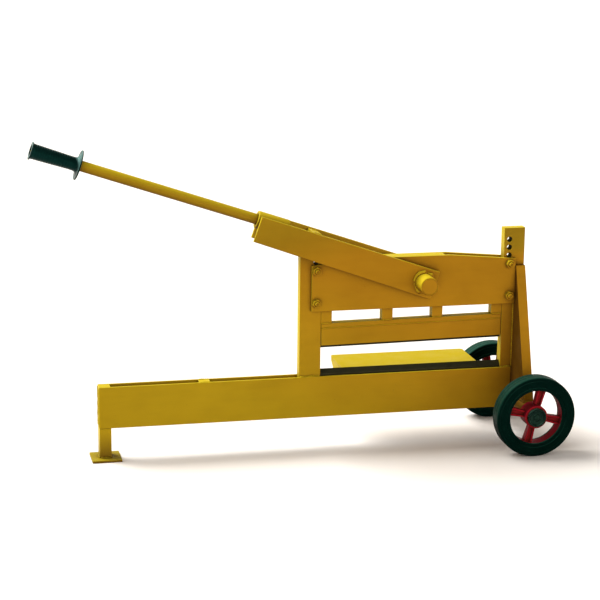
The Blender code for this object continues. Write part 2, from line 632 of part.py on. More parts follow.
def make_rim(name, hub):
    """Barrel, hub and four ridged spokes, joined into one piece."""
    barrel = [(RIM_RADIUS, RIM_HALF), (RIM_RADIUS, -RIM_HALF), (RIM_INNER, -RIM_HALF),
              (RIM_INNER, RIM_HALF)]
    rim = turned(name, barrel, RED_PAINT, hub, rotation=(0, 0, SPOKE_TURN))
    near = HUB_INNER - TRACK_HALF
    far = HUB_OUTER - TRACK_HALF
    core = [(HUB_RADIUS, far), (HUB_RADIUS, near), (HUB_BORE, near), (HUB_BORE, far)]
    hub_core = turned(name + "_core", core, None, rim)
    reach = (RIM_RADIUS + RIM_INNER) / 2
    start = (HUB_RADIUS + HUB_BORE) / 2
    rib = SPOKE_WEB / 2 - 1 * MM
    bars = (("web", -SPOKE_WEB / 2, SPOKE_WEB / 2, SPOKE_THICK), ("rib_a", rib, rib + SPOKE_RIB, SPOKE_DEEP),
            ("rib_b", -rib - SPOKE_RIB, -rib, SPOKE_DEEP))
    for i in range(4):
        angle = i * math.pi / 2
        for word, low, high, thick in bars:
            spoke = block(f"{name}_{word}_{i}", (start, low, -thick / 2), (reach, high, thick / 2), None,
                          rim, cutters)
            spoke.matrix_basis = Matrix.Rotation(angle, 4, "Z") @ spoke.matrix_basis
            combine(rim, spoke, "UNION")
    parts.objects.unlink(hub_core)
    cutters.objects.link(hub_core)
    combine(rim, hub_core, "UNION")


def make_axle():
    rod("axle", AXLE_RADIUS, -AXLE_HALF, AXLE_HALF, BRIGHT_STEEL, machine, AXLE_X, WHEEL_RADIUS)
    for word, side in SIDES:
        for name, inner, outer, radius, surface in (
                ("axle_tube_", BEAM_PLATE_OUT + GAP, HUB_INNER - GAP, AXLE_TUBE_RADIUS, PAINT),
                ("axle_ring_", HUB_OUTER + GAP, HUB_OUTER + 2 * MM, 16 * MM, BRIGHT_STEEL)):
            near, far = layer(side, inner, outer)
            ring = cut_out(name + word, circle(0, 0, radius, 32), [circle(0, 0, HUB_BORE, 32)], near, far,
                           surface, machine)
            ring.location = (AXLE_X, (near + far) / 2, WHEEL_RADIUS)


make_beam()
make_post("left_post", LEFT_POST_X, LEFT_POST_TOP, LEFT_POST_X + POST_WIDTH - HOLE_FROM_EDGE, False)
make_post("right_post", RIGHT_POST_X, RIGHT_POST_TOP, RIGHT_POST_X + HOLE_FROM_EDGE, True)
make_braces()
make_head()
make_lower_blade()
make_table()
make_lever()
make_handle()
make_cam()
make_carrier()
make_springs()
make_axle()
for side_word, side_sign in SIDES:
    make_wheel(side_word, side_sign)
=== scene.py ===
"""Looks of the hand-lever block splitter: paint, rubber, steel, weld beads and rounded edges.

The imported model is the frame. Plates and bars are shown as copies of their solids with rounded edges,
and round pieces are turned again with finer steps. The front is at -Y. Profiles, outlines and places on
the machine are given in millimetres, x from the beam's left end, y from its middle and z from the floor.
"""
import json
import math

import bmesh
import bpy
from mathutils import Matrix, Vector, noise


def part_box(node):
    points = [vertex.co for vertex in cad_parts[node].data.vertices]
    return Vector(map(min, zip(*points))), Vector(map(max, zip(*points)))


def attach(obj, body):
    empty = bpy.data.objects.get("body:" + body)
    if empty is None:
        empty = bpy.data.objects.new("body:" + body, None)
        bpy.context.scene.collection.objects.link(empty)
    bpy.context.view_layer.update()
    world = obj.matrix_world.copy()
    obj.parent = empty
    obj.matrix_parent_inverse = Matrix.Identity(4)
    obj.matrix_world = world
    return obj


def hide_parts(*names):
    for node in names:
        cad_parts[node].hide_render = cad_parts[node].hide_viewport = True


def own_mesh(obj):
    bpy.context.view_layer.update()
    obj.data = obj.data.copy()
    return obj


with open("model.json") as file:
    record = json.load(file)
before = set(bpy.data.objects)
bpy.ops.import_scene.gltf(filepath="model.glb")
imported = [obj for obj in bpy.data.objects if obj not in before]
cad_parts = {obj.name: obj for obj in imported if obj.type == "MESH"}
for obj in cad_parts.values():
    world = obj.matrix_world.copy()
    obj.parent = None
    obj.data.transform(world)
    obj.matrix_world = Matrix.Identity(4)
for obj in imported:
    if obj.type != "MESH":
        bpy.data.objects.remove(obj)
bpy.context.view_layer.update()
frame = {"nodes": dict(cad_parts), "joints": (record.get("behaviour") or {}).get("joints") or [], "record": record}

MM = 0.001
SIDES = (("front", -1), ("back", 1))
JOINTS = {joint["name"]: joint for joint in frame["joints"]}
BODY_OF = {node: body for body, nodes in frame["record"]["behaviour"]["bodies"].items() for node in nodes}
SLOT_OF = {entry["node"]: entry["material_slot"] for entry in frame["record"]["subparts"]}

PIVOT = Vector(JOINTS["lever_hinge"]["pos_m"])
LEVER_TILT = math.radians(18.8)
POLE_DROOP = math.radians(0.32)
POLE_START = 368 * MM
POLE_RISE = 22.4 * MM
BEAM_END = Vector((-494.25 * MM, 0, 0))
LEVER = Matrix.Translation(PIVOT) @ Matrix.Rotation(LEVER_TILT, 4, "Y")
POLE = (LEVER @ Matrix.Translation((-POLE_START, 0, POLE_RISE))
        @ Matrix.Rotation(-POLE_DROOP - math.pi / 2, 4, "Y"))
WHEEL = Vector(JOINTS["wheel_back_spin"]["pos_m"])      # the front wheel mirrors it

# Sizes and places on the machine, in millimetres.
BEAM_BOTTOM = 79.5
BEAM_TOP = 182.5
BEAM_RIGHT = 1035.5
POST_WIDTH = 53.5
HOLE_X = {"left_post": 529.8, "right_post": 1021.7}
HOLE_Z = [369 + 20 * i for i in range(8)]
HOLE_RADIUS = 6.5
BOLTED = (0, 4)                 # the holes, from below, that the head's bolts go through
BOLT_PLACES = [(x, HOLE_Z[i]) for x in HOLE_X.values() for i in BOLTED]
BOLT_RADIUS = 6
SHAFT_RADIUS = 22.5
PIVOT_BORE = 22.9
POLE_RADIUS = 12.9
SLEEVE_BORE = 13.2              # of the socket and the grip, round the pole
AXLE_RADIUS = 10
AXLE_BORE = 10.3


# ---- camera, floor and light --------------------------------------------------------------------
def make_camera():
    """A long lens, a little above the machine and to the left of its front."""
    azimuth, pitch, roll = (math.radians(v) for v in (-12.88, -13.47, 0.62))
    target = Vector((-4.8, -17.5, 378.4)) * MM
    distance = 4.466
    forward = Vector((-math.sin(azimuth) * math.cos(pitch), math.cos(azimuth) * math.cos(pitch),
                      math.sin(pitch)))
    right = Vector((math.cos(azimuth), math.sin(azimuth), 0))
    up = right.cross(forward)
    rolled_right = right * math.cos(roll) + up * math.sin(roll)
    rolled_up = up * math.cos(roll) - right * math.sin(roll)
    data = bpy.data.cameras.new("camera")
    data.sensor_width = 36
    data.lens = 110.4
    data.clip_end = 200
    camera = bpy.data.objects.new("camera", data)
    turn = Matrix((rolled_right, rolled_up, -forward)).transposed().to_4x4()
    camera.matrix_world = Matrix.Translation(target - forward * distance) @ turn
    bpy.context.scene.collection.objects.link(camera)
    bpy.context.scene.camera = camera


def make_light():
    """A wide sun from behind on the left, a weak warm lamp in front, and a pale world."""
    lamp_distance = 5

    def lamp(name, kind, power, toward, color, **fields):
        data = bpy.data.lights.new(name, kind)
        data.energy = power
        data.color = color
        for field, value in fields.items():
            setattr(data, field, value)
        light = bpy.data.objects.new(name, data)
        light.location = Vector(toward) * lamp_distance
        light.rotation_euler = Vector(toward).to_track_quat("Z", "Y").to_euler()
        bpy.context.scene.collection.objects.link(light)

    lamp("key", "SUN", 4.4, (-0.52, 0.40, 0.755), (1.0, 0.99, 0.95), angle=math.radians(40))
    lamp("front_fill", "AREA", 26, (0.2, -0.9, 0.25), (1.0, 0.72, 0.45), shape="DISK", size=3.0)
    world = bpy.data.worlds.new("studio")
    world.use_nodes = True
    background = world.node_tree.nodes["Background"]
    background.inputs["Color"].default_value = (1, 0.98, 0.94, 1)
    background.inputs["Strength"].default_value = 0.43
    bpy.context.scene.world = world
    bpy.context.scene.view_settings.view_transform = "Standard"


def make_floor():
    """A round floor whose far rim curves up into a low backdrop, in metres."""
    flat, bend = 16.0, 8.0
    bm = bmesh.new()
    line = [bm.verts.new((r, 0, z)) for r, z in [(0, 0)] + arc(flat, bend, bend, -90, -10, 16)]
    edges = [bm.edges.new(ends) for ends in zip(line, line[1:])]
    bmesh.ops.spin(bm, geom=line + edges, cent=(0, 0, 0), axis=(0, 0, 1), angle=2 * math.pi, steps=96,
                   use_merge=True)
    bmesh.ops.remove_doubles(bm, verts=bm.verts, dist=0.0001)
    mesh = bpy.data.meshes.new("floor")
    bm.to_mesh(mesh)
    bm.free()
    mesh.shade_smooth()
    floor = bpy.data.objects.new("floor", mesh)
    bpy.context.scene.collection.objects.link(floor)
    surface = bpy.data.materials.new("floor")
    surface.use_nodes = True
    shader = surface.node_tree.nodes["Principled BSDF"]
    shader.inputs["Base Color"].default_value = (0.93, 0.89, 0.86, 1)
    shader.inputs["Roughness"].default_value = 0.9
    shader.inputs["Specular IOR Level"].default_value = 0.0
    mesh.materials.append(surface)


# ---- material nodes -----------------------------------------------------------------------------
class Shader:
    """A material's node tree, with short calls for the nodes used here."""

    def __init__(self, name, metallic=0.0, **sockets):
        self.material = bpy.data.materials.new(name)
        self.material.use_nodes = True
        self.tree = self.material.node_tree
        self.surface = self.tree.nodes["Principled BSDF"]
        self.surface.inputs["Metallic"].default_value = metallic
        for socket, value in sockets.items():
            self.surface.inputs[socket.replace("_", " ")].default_value = value
        self.place = self.new("ShaderNodeTexCoord").outputs["Object"]

    def new(self, kind, **fields):
        made = self.tree.nodes.new(kind)
        for field, value in fields.items():
            setattr(made, field, value)
        return made

    def feed(self, socket, value):
        if isinstance(value, bpy.types.NodeSocket):
            self.tree.links.new(value, socket)
        else:
            socket.default_value = value

    def scaled(self, factors):
        made = self.new("ShaderNodeMapping")
        self.feed(made.inputs["Vector"], self.place)
        made.inputs["Scale"].default_value = factors
        return made.outputs["Vector"]

    def noise(self, scale, detail=2.0, roughness=0.5, place=None):
        made = self.new("ShaderNodeTexNoise")
        self.feed(made.inputs["Vector"], place or self.place)
        made.inputs["Scale"].default_value = scale
        made.inputs["Detail"].default_value = detail
        made.inputs["Roughness"].default_value = roughness
        return made.outputs["Fac"]

    def ramp(self, value, low, high, start=0.0, end=1.0):
        made = self.new("ShaderNodeMapRange")
        self.feed(made.inputs["Value"], value)
        for socket, number in (("From Min", low), ("From Max", high), ("To Min", start), ("To Max", end)):
            made.inputs[socket].default_value = number
        return made.outputs["Result"]

    def math(self, operation, first, second):
        made = self.new("ShaderNodeMath", operation=operation)
        self.feed(made.inputs[0], first)
        self.feed(made.inputs[1], second)
        return made.outputs[0]

    def mix(self, factor, first, second, blend="MIX"):
        made = self.new("ShaderNodeMix", data_type="RGBA", blend_type=blend)
        self.feed(made.inputs["Factor"], factor)
        self.feed(made.inputs["A"], first)
        self.feed(made.inputs["B"], second)
        return made.outputs["Result"]

    def facing(self, direction, low, high):
        """From 0 to 1, as the surface turns to face a direction."""
        geometry = self.new("ShaderNodeNewGeometry").outputs["Normal"]
        made = self.new("ShaderNodeVectorMath", operation="DOT_PRODUCT")
        self.feed(made.inputs[0], geometry)
        self.feed(made.inputs[1], direction)
        return self.ramp(made.outputs["Value"], low, high)

    def along(self, direction, low, high):
        """From 0 to 1 between two distances in a direction, in metres."""
        made = self.new("ShaderNodeVectorMath", operation="DOT_PRODUCT")
        self.feed(made.inputs[0], self.place)
        self.feed(made.inputs[1], direction)
        return self.ramp(made.outputs["Value"], low, high)

    def crevice(self, reach):
        """1 on open surfaces, less in corners and narrow gaps."""
        made = self.new("ShaderNodeAmbientOcclusion", samples=8)
        made.inputs["Distance"].default_value = reach
        return made.outputs["AO"]

    def bump(self, height, distance, strength=1.0, normal=None):
        made = self.new("ShaderNodeBump")
        made.inputs["Strength"].default_value = strength
        made.inputs["Distance"].default_value = distance
        self.feed(made.inputs["Height"], height)
        if normal:
            self.feed(made.inputs["Normal"], normal)
        return made.outputs["Normal"]

    def finish(self, color, roughness, normal):
        self.feed(self.surface.inputs["Base Color"], color)
        self.feed(self.surface.inputs["Roughness"], roughness)
        self.feed(self.surface.inputs["Normal"], normal)
        return self.material


def rgba(red, green, blue):
    return (red, green, blue, 1.0)


def paint(name, low, high, top, corner_shade_color, dirt_share=0.35, standing=True):
    """Sprayed enamel: warmer high up, cloudy and with specks, with painted light on faces turned up and
    to the left and painted shade in corners, creases and on undersides.

    A standing piece, one that doesn't spin, also has a painted shadow where the frame shades it, is
    darker near the floor and has painted light on the inner faces of the back plates. The places of
    these masks are in metres.
    """
    shader = Shader(name, IOR=1.14, Specular_Tint=rgba(1.0, 0.8, 0.35))
    body = shader.mix(shader.along((0.45, 0, 1), 0.08, 0.46), low, high)
    # the lever's left part and the right post's top are greener
    body = shader.mix(shader.along((-0.35, 0, 1), 0.44, 0.56), body, rgba(0.78, 0.95, 0.9), "MULTIPLY")
    clouds = shader.ramp(shader.noise(4.5, 3, 0.55), 0.36, 0.64)
    body = shader.mix(clouds, body, rgba(0.86, 0.84, 0.8), "MULTIPLY")
    post_top = shader.math("MULTIPLY", shader.along((1, 0, 0), 0.500, 0.505),
                           shader.along((0, 0, 1), 0.462, 0.490))
    body = shader.mix(post_top, body, rgba(0.74, 0.94, 1.0), "MULTIPLY")
    streaks = shader.noise(9, 4, 0.6, shader.scaled((1.0, 1.0, 5.0)))
    body = shader.mix(shader.ramp(streaks, 0.45, 0.75, 0.0, 0.4), body, rgba(0.8, 0.8, 0.8), "MULTIPLY")
    # painted light: faces turned up and to the left, towards the key light, take the paler top colour
    painted_sunlit = shader.facing((-0.6, 0, 0.8), 0.0, 0.75)
    if standing:
        # painted shadow: the corner between the right post and its gusset, and the axle tubes below it,
        # lose the painted light, and there the faces turned left are painted dark brown
        corner = shader.math("MULTIPLY", shader.along((1, 0, 0), 0.541, 0.543),
                             shader.along((0, 0, 1), 0.458, 0.452))
        tubes = shader.math("MULTIPLY", shader.along((1, 0, 0), 0.520, 0.522),
                            shader.along((0, 0, 1), 0.128, 0.124))
        shadowed_zone = shader.math("MAXIMUM", corner, tubes)
        body = shader.mix(shader.math("MULTIPLY", painted_sunlit, shader.ramp(shadowed_zone, 1, 0)), body, top)
        shaded = shader.math("MULTIPLY", shader.facing((-1, 0, 0), 0.5, 0.9), shadowed_zone)
        body = shader.mix(shaded, body, rgba(0.13, 0.062, 0.006))
        # darker towards the floor
        near_floor = shader.along((0, 0, 1), 0.07, 0.0)
        body = shader.mix(shader.math("MULTIPLY", near_floor, 0.45), body, rgba(0.07, 0.05, 0.01))
        # painted light: the inner faces of the back plates are painted paler and get less of the painted
        # corner shade below
        between = shader.math("MULTIPLY", shader.along((0, 1, 0), 0.010, 0.011),
                              shader.facing((0, -1, 0), 0.5, 0.9))
        body = shader.mix(shader.math("MULTIPLY", between, 0.45), body, rgba(0.68, 0.44, 0.03))
    else:
        between = 0.0
        body = shader.mix(painted_sunlit, body, top)
    # painted shade: faces turned down are darker
    body = shader.mix(shader.facing((0, 0, -1), 0.1, 0.9), body, rgba(0.35, 0.28, 0.3), "MULTIPLY")
    specks = shader.ramp(shader.noise(210, 3, 0.6), 0.70, 0.74, 0.0, dirt_share)
    body = shader.mix(specks, body, rgba(0.07, 0.04, 0.01))
    # painted shade: dark lines in the creases where pieces meet, and a wider shade in corners and narrow gaps
    crease_shade = shader.ramp(shader.crevice(0.013), 0.78, 0.3, 0.0, 0.75)
    body = shader.mix(crease_shade, body, rgba(0.045, 0.02, 0.003))
    gaps = shader.math("MULTIPLY", shader.ramp(shader.crevice(0.11), 0.88, 0.5, 0.0, 0.5),
                       shader.ramp(between, 0, 1, 1, 0.2))
    body = shader.mix(gaps, body, corner_shade_color)
    roughness = shader.ramp(shader.noise(26, 4, 0.6), 0.3, 0.7, 0.36, 0.54)
    peel = shader.bump(shader.noise(620, 2, 0.4), 0.00012, 0.45)
    lumps = shader.bump(shader.noise(85, 3, 0.5), 0.0004, 0.3, peel)
    return shader.finish(body, roughness, lumps)


def rubber(name, base, sheen, painted_highlight, highlight_from, tint, roughness, ior):
    """Moulded rubber: fine grain, greyer where it has been rubbed, and a painted highlight on the faces
    turned up and to the left.
    """
    shader = Shader(name, IOR=ior, Specular_Tint=tint)
    worn = shader.ramp(shader.noise(30, 5, 0.6), 0.42, 0.7)
    color = shader.mix(shader.math("MULTIPLY", worn, 0.5), base, sheen)
    # painted highlight: faces turned up and to the left take a paler colour
    color = shader.mix(shader.facing((-0.5, 0, 0.86), highlight_from, 0.95), color, painted_highlight)
    rough = shader.ramp(shader.noise(70, 3, 0.5), 0.3, 0.7, roughness - 0.08, roughness + 0.12)
    grain = shader.bump(shader.noise(1400, 2, 0.5), 0.0001, 0.5)
    return shader.finish(color, rough, shader.bump(shader.noise(160, 3, 0.5), 0.0002, 0.25, grain))


def steel(name, base, stain, stretch, roughness=0.38, stain_share=0.5):
    """Ground or turned steel: scratches along one direction, and dull stains."""
    shader = Shader(name, metallic=0.9)
    scratches = shader.noise(420, 3, 0.6, shader.scaled(stretch))
    stains = shader.ramp(shader.noise(22, 5, 0.65), 0.45, 0.68, 0.0, stain_share)
    color = shader.mix(stains, base, stain)
    color = shader.mix(shader.ramp(scratches, 0.3, 0.7, 0.0, 0.25), color, rgba(0.02, 0.02, 0.018))
    rough = shader.math("ADD", shader.ramp(scratches, 0.3, 0.7, 0.0, 0.18), roughness)
    return shader.finish(color, rough, shader.bump(scratches, 0.00012, 0.5))


# each paint: low and high colours, a painted sunlit colour for faces turned up and to the left, and the colour of
# the painted shade in corners
YELLOW = paint("yellow_paint", rgba(0.385, 0.255, 0.008), rgba(0.372, 0.180, 0.008),
               rgba(0.58, 0.44, 0.014), rgba(0.10, 0.040, 0.006))
TABLE_YELLOW = paint("bright_yellow_paint", rgba(0.44, 0.31, 0.003), rgba(0.44, 0.31, 0.003),
                     rgba(0.49, 0.37, 0.004), rgba(0.20, 0.12, 0.004), 0.25)
RED = paint("red_paint", rgba(0.30, 0.005, 0.016), rgba(0.30, 0.005, 0.016), rgba(0.36, 0.010, 0.028),
            rgba(0.035, 0.002, 0.004), 0.3, standing=False)
# each rubber: base, rubbed and painted highlight colours, where the highlight starts, specular tint, roughness and
# IOR
TYRE = rubber("tyre_rubber", rgba(0.000, 0.004, 0.003), rgba(0.001, 0.009, 0.006),
              rgba(0.014, 0.060, 0.041), 0.3, rgba(0.03, 0.5, 0.35), 0.5, 1.17)
GRIP = rubber("grip_plastic", rgba(0.001, 0.008, 0.007), rgba(0.003, 0.020, 0.017),
              rgba(0.11, 0.23, 0.215), 0.6, rgba(0.15, 1.0, 0.9), 0.30, 1.18)
CAP = rubber("cap_plastic", rgba(0.001, 0.006, 0.004), rgba(0.020, 0.044, 0.028),
             rgba(0.05, 0.12, 0.09), 0.6, rgba(0.4, 1.0, 0.8), 0.22, 1.22)
# painted shade: the dark material of the sleeves inside the posts' empty holes
HOLE_SHADE = rubber("hole_shade", rgba(0.012, 0.010, 0.001), rgba(0.040, 0.032, 0.003),
                   rgba(0.060, 0.050, 0.005), 0.2, rgba(1.0, 0.9, 0.4), 0.7, 1.10)
BLADE = steel("blade_steel", rgba(0.037, 0.036, 0.015), rgba(0.018, 0.016, 0.007), (0.06, 1, 1), 0.5)
BARE = steel("bright_steel", rgba(0.35, 0.34, 0.31), rgba(0.13, 0.11, 0.07), (1, 0.1, 1), 0.34)
SURFACE_OF = {"yellow_paint": YELLOW, "bright_yellow_paint": TABLE_YELLOW, "red_paint": RED,
              "tyre_rubber": TYRE, "grip_plastic": GRIP, "blade_steel": BLADE, "bright_steel": BARE}


# ---- making pieces ------------------------------------------------------------------------------
SHARP_FROM = math.radians(32)       # smaller angles between faces are shaded smooth
JOIN_WITHIN = 0.000005              # metres


def piece(name, bm, slot, body, replaced=(), surface=None):
    """The object of a finished mesh, with its finish, its body and the nodes that it stands for."""
    mesh = bpy.data.meshes.new(name)
    bmesh.ops.recalc_face_normals(bm, faces=bm.faces)
    bm.to_mesh(mesh)
    bm.free()
    mesh.shade_smooth()
    mesh.set_sharp_from_angle(angle=SHARP_FROM)
    mesh.materials.append(surface or SURFACE_OF[slot])
    made = bpy.data.objects.new(name, mesh)
    bpy.context.scene.collection.objects.link(made)
    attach(made, body)
    if replaced:
        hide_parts(*replaced)
    return made


def finished(node, bm, name="", surface=None):
    """A piece that stands for one node, with the node's slot and body."""
    return piece(name or node + "_finished", bm, SLOT_OF[node], BODY_OF[node], [node], surface)


def round_edges(made, width):
    bevel = made.modifiers.new("round_edges", "BEVEL")
    bevel.width = width * MM
    bevel.segments = 3
    bevel.harden_normals = True
    return bevel


def rounded(node, width):
    """A copy of a plate or bar with its flat faces whole again and its edges rounded."""
    bm = bmesh.new()
    bm.from_mesh(frame["nodes"][node].data)
    bmesh.ops.remove_doubles(bm, verts=bm.verts, dist=0.00002)
    bmesh.ops.dissolve_limit(bm, angle_limit=math.radians(0.5), verts=bm.verts, edges=bm.edges)
    bevel = round_edges(finished(node, bm), width)
    bevel.limit_method = "ANGLE"
    bevel.angle_limit = SHARP_FROM


def skin(bm, rings):
    """Faces between each ring of points and the next, all the way round, but none along the axis."""
    for here, there in zip(rings, rings[1:] + rings[:1]):
        for j in range(len(here)):
            k = (j + 1) % len(here)
            if here[j].co.xy.length > 0 or here[k].co.xy.length > 0:
                bm.faces.new((here[j], there[j], there[k], here[k]))


def turned(profile, steps, place, ripple=None):
    """A closed profile of (radius, height) in millimetres, turned about Z and moved to its place."""
    bm = bmesh.new()
    rings = []
    for i in range(steps):
        turn = 2 * math.pi * i / steps
        ring = []
        for radius, height in profile:
            reach = radius + (ripple(turn, height, radius) if ripple else 0.0)
            spot = Vector((reach * math.cos(turn), reach * math.sin(turn), height))
            ring.append(bm.verts.new(spot * MM))
        rings.append(ring)
    skin(bm, rings)
    bmesh.ops.remove_doubles(bm, verts=bm.verts, dist=JOIN_WITHIN)
    bmesh.ops.transform(bm, matrix=place, verts=bm.verts)
    return bm


def arc(middle_r, middle_z, radius, start, end, count):
    """Points of a profile on a circle, between two angles in degrees."""
    angles = [math.radians(start + (end - start) * i / count) for i in range(count + 1)]
    return [(middle_r + radius * math.cos(a), middle_z + radius * math.sin(a)) for a in angles]


def soft_ring(inner, outer, low, high, edge):
    """A ring's profile with all four corners rounded."""
    points = []
    for r, z, start in ((outer - edge, high - edge, 90), (outer - edge, low + edge, 0),
                        (inner + edge, low + edge, -90), (inner + edge, high - edge, -180)):
        points += arc(r, z, edge, start, start - 90, 4)
    return points


def soft_disc(radius, low, high, edge):
    """A solid disc's profile with its two rims rounded."""
    return ([(0, high)] + arc(radius - edge, high - edge, edge, 90, 0, 4)
            + arc(radius - edge, low + edge, edge, 0, -90, 4) + [(0, low)])


def facing(place, side):
    """Moves a turned shape so that its +Z points out to one side of the machine."""
    return Matrix.Translation(place) @ Matrix.Rotation(-side * math.pi / 2, 4, "X")


def at(x, y, z):
    """A place on the machine, in metres, from its millimetres."""
    return Vector((x, y, z)) * MM + BEAM_END


def on_lever(u, y, v):
    """A place on the lever: millimetres from the pivot towards the handle, to the back, and up."""
    return LEVER @ (Vector((-u, y, v)) * MM)


def rope(line, radius_at, sides=10, closed=False):
    """A tube along a line of points, with its own radius at each point, all in metres."""
    bm = bmesh.new()
    total = len(line)
    rings = []
    across = None
    for i, spot in enumerate(line):
        ahead = line[(i + 1) % total] if closed or i < total - 1 else spot
        behind = line[i - 1] if closed or i > 0 else spot
        along = (ahead - behind).normalized()
        across = along.orthogonal() if across is None else across - along * across.dot(along)
        across.normalize()
        above = along.cross(across)
        ring = []
        for j in range(sides):
            turn = 2 * math.pi * j / sides
            offset = across * math.cos(turn) + above * math.sin(turn)
            ring.append(bm.verts.new(spot + offset * radius_at(i)))
        rings.append(ring)
    for i in range(total if closed else total - 1):
        here, there = rings[i], rings[(i + 1) % total]
        for j in range(sides):
            bm.faces.new((here[j], here[(j + 1) % sides], there[(j + 1) % sides], there[j]))
    if not closed:
        bm.faces.new(rings[0])
        bm.faces.new(rings[-1])
    return bm


def bead(name, body, points, radius, closed=False, uneven=0.45):
    """A weld bead along a line of places: a half-sunk rope of overlapping ripples."""
    thick = radius * MM
    line = []
    ends = points + points[:1] if closed else points
    for first, second in zip(ends, ends[1:]):
        count = max(1, round((second - first).length / (thick * 0.3)))
        line += [first.lerp(second, i / count) for i in range(count)]
    if not closed:
        line.append(points[-1])

    def radius_at(i):
        wave = abs(math.sin(i * 0.42 + 2.2 * noise.noise(line[i] * 60)))
        swell = max(0.3, 0.78 + 0.24 * wave + uneven * noise.noise(line[i] * 85))
        from_end = min(i, len(line) - 1 - i)
        return thick * swell * (1.0 if closed else min(1.0, 0.3 + 0.25 * from_end))

    piece(name, rope(line, radius_at, closed=closed), "yellow_paint", body)


def circle(middle, radius, sides):
    """The corners of a many-sided circle."""
    turn = 2 * math.pi / sides
    return [(middle[0] + radius * math.cos(turn * i), middle[1] + radius * math.sin(turn * i))
            for i in range(sides)]


def inset(outline, amount):
    """The counter-clockwise outline with every side moved inwards by the same amount."""
    moved = []
    for i, here in enumerate(outline):
        before, here, after = (Vector(p) for p in (outline[i - 1], here, outline[(i + 1) % len(outline)]))
        first, second = (here - before).normalized(), (after - here).normalized()
        normals = Vector((-first.y, first.x)), Vector((-second.y, second.x))
        moved.append(here + (normals[0] + normals[1]) * (amount / (1 + normals[0].dot(normals[1]))))
    return moved


def drilled(node, outline, holes, edge, place):
    """A plate that faces Y, with rounded edges and finely rounded holes."""
    near, far = (corner[1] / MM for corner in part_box(node))
    steps = 3
    layers = []
    for i in range(steps + 1):
        turn = math.pi / 2 * i / steps
        layers.append((near + edge * (1 - math.cos(turn)), edge * (1 - math.sin(turn))))
    layers += [(far - (y - near), amount) for y, amount in reversed(layers)]
    bm = bmesh.new()
    caps = {0: [], len(layers) - 1: []}
    for loop, share in [(outline, 1)] + [(hole, -1) for hole in holes]:
        rings = []
        for y, amount in layers:
            moved = inset(loop, share * amount)
            rings.append([bm.verts.new(Vector((x, y, z)) * MM) for x, z in moved])
        for here, there in zip(rings, rings[1:]):
            for i in range(len(loop)):
                k = (i + 1) % len(loop)
                bm.faces.new((here[i], here[k], there[k], there[i]))
        for layer, edges in caps.items():
            ring = rings[layer]
            edges += [bm.edges.get((ring[i], ring[(i + 1) % len(ring)])) for i in range(len(ring))]
    for edges in caps.values():
        bmesh.ops.triangle_fill(bm, edges=edges, use_beauty=True)
    bmesh.ops.transform(bm, matrix=place, verts=bm.verts)
    finished(node, bm).modifiers.new("flat_faces", "WEIGHTED_NORMAL").keep_sharp = True


def hexagon(bore, flats_radius, low, high, place, steps=72):
    """A nut with both rims turned down to a cone; with no bore it is a bolt's head."""
    disc = flats_radius * 0.97              # the flat left inside the cone
    cone_slope = 0.55
    mouth = 1.3 if bore else 0
    bm = bmesh.new()
    rings = []
    for i in range(steps):
        turn = 2 * math.pi * i / steps
        corner = flats_radius / math.cos((turn % (math.pi / 3)) - math.pi / 6)
        drop = (corner - disc) * cone_slope
        profile = [(bore, high - mouth), (bore + mouth, high), (disc, high), (corner, high - drop),
                   (corner, low + drop), (disc, low), (bore, low)]
        rings.append([bm.verts.new(Vector((r * math.cos(turn), r * math.sin(turn), z)) * MM)
                      for r, z in profile])
    skin(bm, rings)
    bmesh.ops.remove_doubles(bm, verts=bm.verts, dist=JOIN_WITHIN)
    bmesh.ops.transform(bm, matrix=place, verts=bm.verts)
    return bm


# ---- plates, bars and bolts ---------------------------------------------------------------------
def make_bars():
    """Each bar with the radius of its edges."""
    widths = {
        "beam_plate_front": 0.9, "beam_plate_back": 0.9, "beam_spacer": 0.8, "front_leg": 0.9,
        "foot_plate": 1.2, "blade_seat": 0.6, "brace_front": 0.9, "brace_back": 0.9, "lower_blade": 0.5,
        "table_plate": 1.2, "table_bracket_left": 0.8, "table_bracket_right": 0.8,
        "head_top_spacer": 0.8, "lever_stop_bar": 0.8, "socket_bar": 0.8, "cam": 0.6,
        "carrier_top_bar": 0.6, "carrier_upright_1": 0.9, "carrier_upright_2": 0.9,
        "carrier_upright_3": 0.9, "carrier_upright_4": 0.9, "carrier_rail": 0.9, "blade_holder": 0.9,
        "upper_blade": 0.4,
    }
    for node, width in widths.items():
        rounded(node, width)


def make_plates():
    """The plates with holes: both posts, both head plates and both lever plates."""
    from_beam_end = Matrix.Translation(BEAM_END)
    for node, left, top in (("left_post", 490.2, 528.2), ("right_post", 1007.8, 538)):
        right = left + POST_WIDTH
        outline = [(left, BEAM_BOTTOM), (right, BEAM_BOTTOM), (right, top), (left, top)]
        holes = [circle((HOLE_X[node], z), HOLE_RADIUS, 32) for z in HOLE_Z]
        drilled(node, outline, holes, 0.9, from_beam_end)
        make_hole_shade_sleeves(node)
    head = [(518, 347.8), (1037, 347.8), (1037, 461.8), (866, 476.8), (700, 476.8), (518, 461.8)]
    pivot = (PIVOT - BEAM_END) / MM
    holes = [circle(place, HOLE_RADIUS, 32) for place in BOLT_PLACES]
    holes.append(circle((pivot.x, pivot.z), PIVOT_BORE, 64))
    for word, _ in SIDES:
        drilled("head_plate_" + word, head, holes, 0.9, from_beam_end)
    tail = 32
    for word, length, top in (("front", 439.5, 35.5), ("back", 432, 39.3)):
        plate = [(-length, -28.3), (0, -36.7), (tail, -36.7), (tail, top), (-length, top)]
        drilled("lever_plate_" + word, plate, [circle((0, 0), PIVOT_BORE, 64)], 2.0, LEVER)


